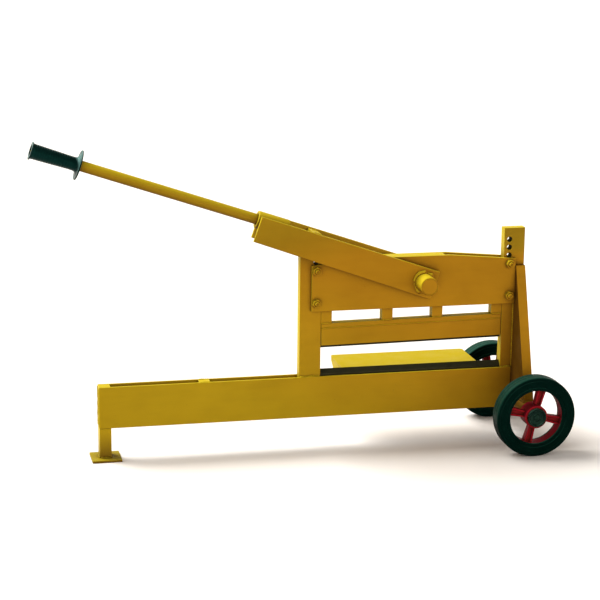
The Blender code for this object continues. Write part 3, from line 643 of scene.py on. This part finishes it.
def make_hole_shade_sleeves(post):
    """Thin dark sleeves in a post's empty holes: painted shade inside the bores."""
    inner, outer, half = 6.35, 6.55, 12.1
    sleeve = [(inner, half), (outer, half), (outer, -half), (inner, -half)]
    for number, z in enumerate(HOLE_Z):
        if number not in BOLTED:
            bm = turned(sleeve, 32, facing(at(HOLE_X[post], 0, z), 1))
            piece(f"{post}_hole_{number}", bm, "blade_steel", BODY_OF[post], surface=HOLE_SHADE)


def make_pivot():
    """The shaft with a groove in each end, its two bushes and the welds round it."""
    end, groove, chamfer = 88, 0.7, 1.6
    half = [(0, end), (18.6, end), (19.1, end - groove), (19.9, end - groove), (20.4, end),
            (SHAFT_RADIUS - chamfer, end), (SHAFT_RADIUS, end - chamfer)]
    shaft = half + [(r, -z) for r, z in reversed(half)]
    finished("pivot_shaft", turned(shaft, 96, LEVER @ Matrix.Rotation(math.pi / 2, 4, "X")))
    bush_radius, bush_from, bush_to = 30, 20.8, 27.7
    seam_radius, seam_out = 23.4, 36.6
    for word, side in SIDES:
        bush = soft_ring(PIVOT_BORE, bush_radius, bush_from, bush_to, 0.8)
        finished("pivot_bush_" + word, turned(bush, 72, facing(PIVOT, side)),
                 "pivot_bush_finished_" + word)
        seam = [on_lever(x, side * seam_out, z) for x, z in circle((0, 0), seam_radius, 40)]
        bead("weld_pivot_" + word, BODY_OF["pivot_shaft"], seam, 5.4, closed=True, uneven=1.0)


def make_bolts():
    """Bolts with their heads at the back; nuts and washers on the threaded ends at the front."""
    tip, shank_end, thread_end = 35.8, -21, 19
    pitch, thread_depth, thread_step, thread_points = 1.75, 0.9, 0.22, 70
    flats_radius = 9.5

    def thread(turn, height, radius):
        if radius < BOLT_RADIUS - 0.1 or height < thread_end:
            return 0.0
        return -thread_depth * abs(((height / pitch + turn / (2 * math.pi)) % 1.0) * 2 - 1)

    shank = [(0, tip - 2.2), (2.6, tip - 1.6), (3.2, tip), (4.9, tip)]
    shank += [(BOLT_RADIUS, tip - 1.1 - thread_step * i) for i in range(thread_points)]
    shank += [(BOLT_RADIUS, shank_end), (0, shank_end)]
    for number, (x, z) in enumerate(BOLT_PLACES, 1):
        front = facing(at(x, 0, z), -1) @ Matrix.Rotation(number * 1.3, 4, "Z")
        back = facing(at(x, 0, z), 1) @ Matrix.Rotation(number * 0.7, 4, "Z")
        bolt, nut = f"head_bolt_{number}", f"head_nut_{number}"
        finished(bolt, turned(shank, 36, front, thread), f"head_bolt_finished_{number}")
        piece(f"bolt_head_{number}", hexagon(0, flats_radius, 20.8, 28.3, back), "yellow_paint",
              BODY_OF[bolt])
        finished(nut, hexagon(6.05, flats_radius, 22.6, 31.0, front), f"head_nut_finished_{number}")
        washer = soft_ring(6.4, 11.6, 20.6, 22.5, 0.4)
        piece(f"washer_{number}", turned(washer, 48, front), "yellow_paint", BODY_OF[bolt])


# ---- handle -------------------------------------------------------------------------------------
def make_handle():
    """The socket, the pole and the grip, with heights along the pole."""
    socket_radius, socket_foot, socket_top = 21.5, -6, 74
    pole_bore, pole_length = 10.9, 635
    socket = soft_ring(SLEEVE_BORE, socket_radius, socket_foot, socket_top, 1.4)
    finished("lever_socket", turned(socket, 72, POLE))
    finished("handle_pole", turned(soft_ring(pole_bore, POLE_RADIUS, 0, pole_length, 0.5), 72, POLE))
    finished("handle_grip", turned(grip_profile(), 96, POLE))


def grip_profile():
    """From the open end with its lip, along the ribs and out to the round flange."""
    outer, inner = 638, 518
    profile = [(SLEEVE_BORE, outer - 0.8)] + arc(14.0, outer - 0.8, 0.8, 180, 90, 3)
    profile += arc(20.8, outer - 1.2, 1.2, 90, -90, 6)
    profile += [(19.5, outer - 3), (18.6, outer - 5)]
    ribs, rib_points = 15, 6
    for i in range(ribs * rib_points + 1):
        share = i / (ribs * rib_points)
        radius = 18.3 - 2.2 * share + 0.2 * math.cos(2 * math.pi * i / rib_points)
        profile.append((radius, outer - (7 + 92 * share)))
    profile += [(16.2, inner + 16), (17.0, inner + 11), (19.5, inner + 7.5), (25, inner + 5.2),
                (32, inner + 4.6)]
    profile += arc(34.6, inner + 3.2, 1.8, 90, -90, 6)
    return profile + [(30, inner + 1.0), (22, inner + 0.4), (SLEEVE_BORE, inner)]


# ---- springs ------------------------------------------------------------------------------------
def make_springs():
    """Both springs, each a coil from an eye up to a hook round its hanger bar, and the hanger bars."""
    eye_z, hanger_z = 366.8, 452.0
    low, high = eye_z + 16, hanger_z - 14
    radius, wire, turns, turn_points = 8.5, 1.5, 6, 28
    eye_radius, hook_radius = 7, 5.8
    for word, x in (("left", 600), ("right", 952)):
        line = [at(x, y, z) for y, z in arc(0, eye_z + eye_radius, eye_radius, 180, 360, 15)]
        for i in range(turns * turn_points + 1):
            turn = math.pi / 2 + 2 * math.pi * i / turn_points
            line.append(at(x + radius * math.cos(turn), radius * math.sin(turn),
                           low + (high - low) * i / (turns * turn_points)))
        line.append(at(x + 3.5, 3.5, high + 5))
        line += [at(x + ahead, 0, z) for ahead, z in arc(0, hanger_z, hook_radius, 0, 207, 23)]
        coil = finished("return_spring_" + word, rope(line, lambda i: wire * MM))
        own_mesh(coil)
        bar = soft_disc(4, -12.2, 12.2, 0.4)
        finished("spring_hanger_" + word, turned(bar, 36, facing(at(x, 0, hanger_z), 1)))


# ---- wheels -------------------------------------------------------------------------------------
def make_tyre(word, place):
    """A tyre with a line moulded round each side and a groove on each side of the tread."""
    half = 20
    outline = arc(68.6, half - 1.6, 1.6, 180, 90, 4)
    outline += [(74, half - 0.2), (75, half - 1.0), (76.2, half - 1.0), (77.2, half - 0.1), (90, half),
                (91, half - 0.7), (92, half - 0.1)]
    outline += arc(95.6, half - 4.4, 4.4, 90, 0, 7)
    outline += [(100, 7), (99.4, 6.4), (99.4, 5.6), (100, 5)]
    mirrored = [(r, -z) for r, z in reversed(outline)]
    inside = [(67, -14), (71.3, -14), (71.3, 14), (67, 14)]
    finished("tyre_" + word, turned(outline + mirrored + inside, 144, place), "tyre_finished_" + word)


def make_rim(word, place):
    """The barrel, the hub, and four spokes that are a web between two ribs."""
    barrel = soft_ring(66.7, 71, -13.7, 13.7, 1.2)
    finished("rim_" + word, turned(barrel, 96, place), "rim_barrel_" + word)
    hub = soft_ring(AXLE_BORE, 28.5, -24, 19, 1.6)
    piece("rim_hub_" + word, turned(hub, 72, place), "red_paint", BODY_OF["rim_" + word])
    first_spoke, spoke_from, spoke_to = math.radians(-13.7), 20, 69
    widen_in, widen_out = 0.75, 1.08            # a spoke tapers towards the hub
    bm = bmesh.new()
    for i in range(4):
        spin = Matrix.Rotation(first_spoke + i * math.pi / 2, 4, "Z")
        for low, high, thick in ((-6, 6, 8), (5, 10, 18), (-10, -5, 18)):
            made = bmesh.ops.create_cube(bm, size=1.0)["verts"]
            for vert in made:
                reach, widen = (spoke_to, widen_out) if vert.co.x > 0 else (spoke_from, widen_in)
                across = (high if vert.co.y > 0 else low) * widen
                vert.co = Vector((reach, across, vert.co.z * thick)) * MM
            bmesh.ops.transform(bm, matrix=place @ spin, verts=made)
    round_edges(piece("rim_spokes_" + word, bm, "red_paint", BODY_OF["rim_" + word]), 1.3)


def make_hub(word, side, place):
    """The dished cap, the axle's tube between beam and wheel, and the ring that holds the wheel."""
    cap = [(0, 26.4), (5.5, 26.2), (8.0, 25.2), (9.5, 23.2), (11, 22.8), (15, 22.9), (17.4, 24.0)]
    cap += arc(20.9, 24.9, 2.6, 130, 0, 8)
    cap += [(23.5, 19.4), (20.5, 19.4), (20.5, 22.6), (0, 22.6)]
    finished("hub_cap_" + word, turned(cap, 72, place), "hub_cap_finished_" + word, CAP)
    axle_place = facing(Vector((WHEEL.x, 0, WHEEL.z)), side)
    for kind, outer, low, high, edge in (("axle_tube_", 20, 17.8, 143.2, 1.0),
                                         ("axle_ring_", 16, 186.8, 188.5, 0.5)):
        ring = soft_ring(AXLE_BORE, outer, low, high, edge)
        finished(kind + word, turned(ring, 72, axle_place), kind + "finished_" + word)


def make_wheels():
    """Both wheels with their hubs, and the axle through them."""
    for word, side in SIDES:
        place = facing(Vector((WHEEL.x, side * WHEEL.y, WHEEL.z)), side)
        make_tyre(word, place)
        make_rim(word, place)
        make_hub(word, side, place)
    axle = soft_disc(AXLE_RADIUS, -190, 190, 1.2)
    finished("axle", turned(axle, 64, facing(Vector((WHEEL.x, 0, WHEEL.z)), 1)))


# ---- welds --------------------------------------------------------------------------------------
def make_carrier_welds(word, side):
    """The carrier leans by a fraction of a degree, and its welds with it."""
    body = BODY_OF["carrier_rail"]
    middle_x, lean = 775.75, math.tan(math.radians(0.77))

    def run(name, start, end, height, radius):
        places = [at(x, side * 12.0, height + (x - middle_x) * lean) for x in (start, end)]
        bead(name, body, places, radius)

    run(f"weld_rail_{word}", 548, 1003.5, 306, 1.5)
    for number, x in enumerate((544.2, 698.3, 826.3, 980.1), 1):
        run(f"weld_upright_{word}_{number}", x + 1, x + 26.2, 318.2, 2.0)


def make_frame_welds(word, side):
    """Beam to posts, leg and spacer, and the gusset and axle tube at the right end."""
    body = BODY_OF["left_post"]
    for number, (start, end) in enumerate(((491, 543), (1008.5, 1035))):
        bead(f"weld_post_{word}_{number}", body,
             [at(x, side * 12.9, BEAM_TOP + 0.1) for x in (start, end)], 3.0)
    bead(f"weld_beam_end_{word}", body, [at(BEAM_RIGHT + 0.2, side * 13.6, z) for z in (84, 180)], 3.0)
    bead(f"weld_leg_side_{word}", body, [at(-1.9, side * 12.6, z) for z in (82, 180)], 1.8)
    bead(f"weld_foot_{word}", body, [at(x, side * 17.7, 6.2) for x in (0, 25.5)], 3.2)
    bead(f"weld_spacer_{word}", body, [at(x, side * 12.5, BEAM_TOP - 0.2) for x in (244, 269)], 1.8)
    bead(f"weld_brace_{word}", body, [at(1037.4, side * 13.0, z) for z in (128, 442)], 2.4)
    for number, (x, z) in enumerate(((1037.0, 118.6), (1061.0, 114.5))):
        bead(f"weld_tube_{word}_{number}", body, [at(x, side * y, z) for y in (24, 119)], 2.8)
    bead(f"weld_brace_foot_{word}", body,
         [at(1038.5, side * 121.2, 119.6), at(1060, side * 121.2, 117.8)], 2.8)


def make_lever_welds(word, side):
    """Both cross bars to the lever plates, and the socket to its bar."""
    body = BODY_OF["lever_socket"]
    bead(f"weld_stop_bar_{word}", body, [on_lever(u, side * 27.9, 35.2) for u in (282, 304)], 2.2)
    bead(f"weld_socket_{word}", body, [on_lever(u, side * 8.2, 1.6) for u in (402, 425)], 3.2)
    bead(f"weld_socket_bar_{word}", body, [on_lever(u, side * 27.7, 0.2) for u in (402, 425)], 2.6)


def make_welds():
    """The beads on each side, then the foot's ends, the table and its brackets."""
    for word, side in SIDES:
        make_carrier_welds(word, side)
        make_frame_welds(word, side)
        make_lever_welds(word, side)
    body = BODY_OF["left_post"]
    for word, x in (("left", -1.9), ("right", 26.8)):
        bead("weld_foot_" + word, body, [at(x, y, 6.2) for y in (-16.5, 16.5)], 3.0)
    for number, x in enumerate((608.0, 613.2, 950.8, 956.0)):
        bead(f"weld_bracket_{number}", body, [at(x, 18.0, z) for z in (112, 185)], 2.2)
    bead("weld_table", body, [at(x, 18.0, 186.8) for x in (622, 942)], 2.2)


make_camera()
make_light()
make_floor()
make_bars()
make_plates()
make_pivot()
make_bolts()
make_handle()
make_springs()
make_wheels()
make_welds()
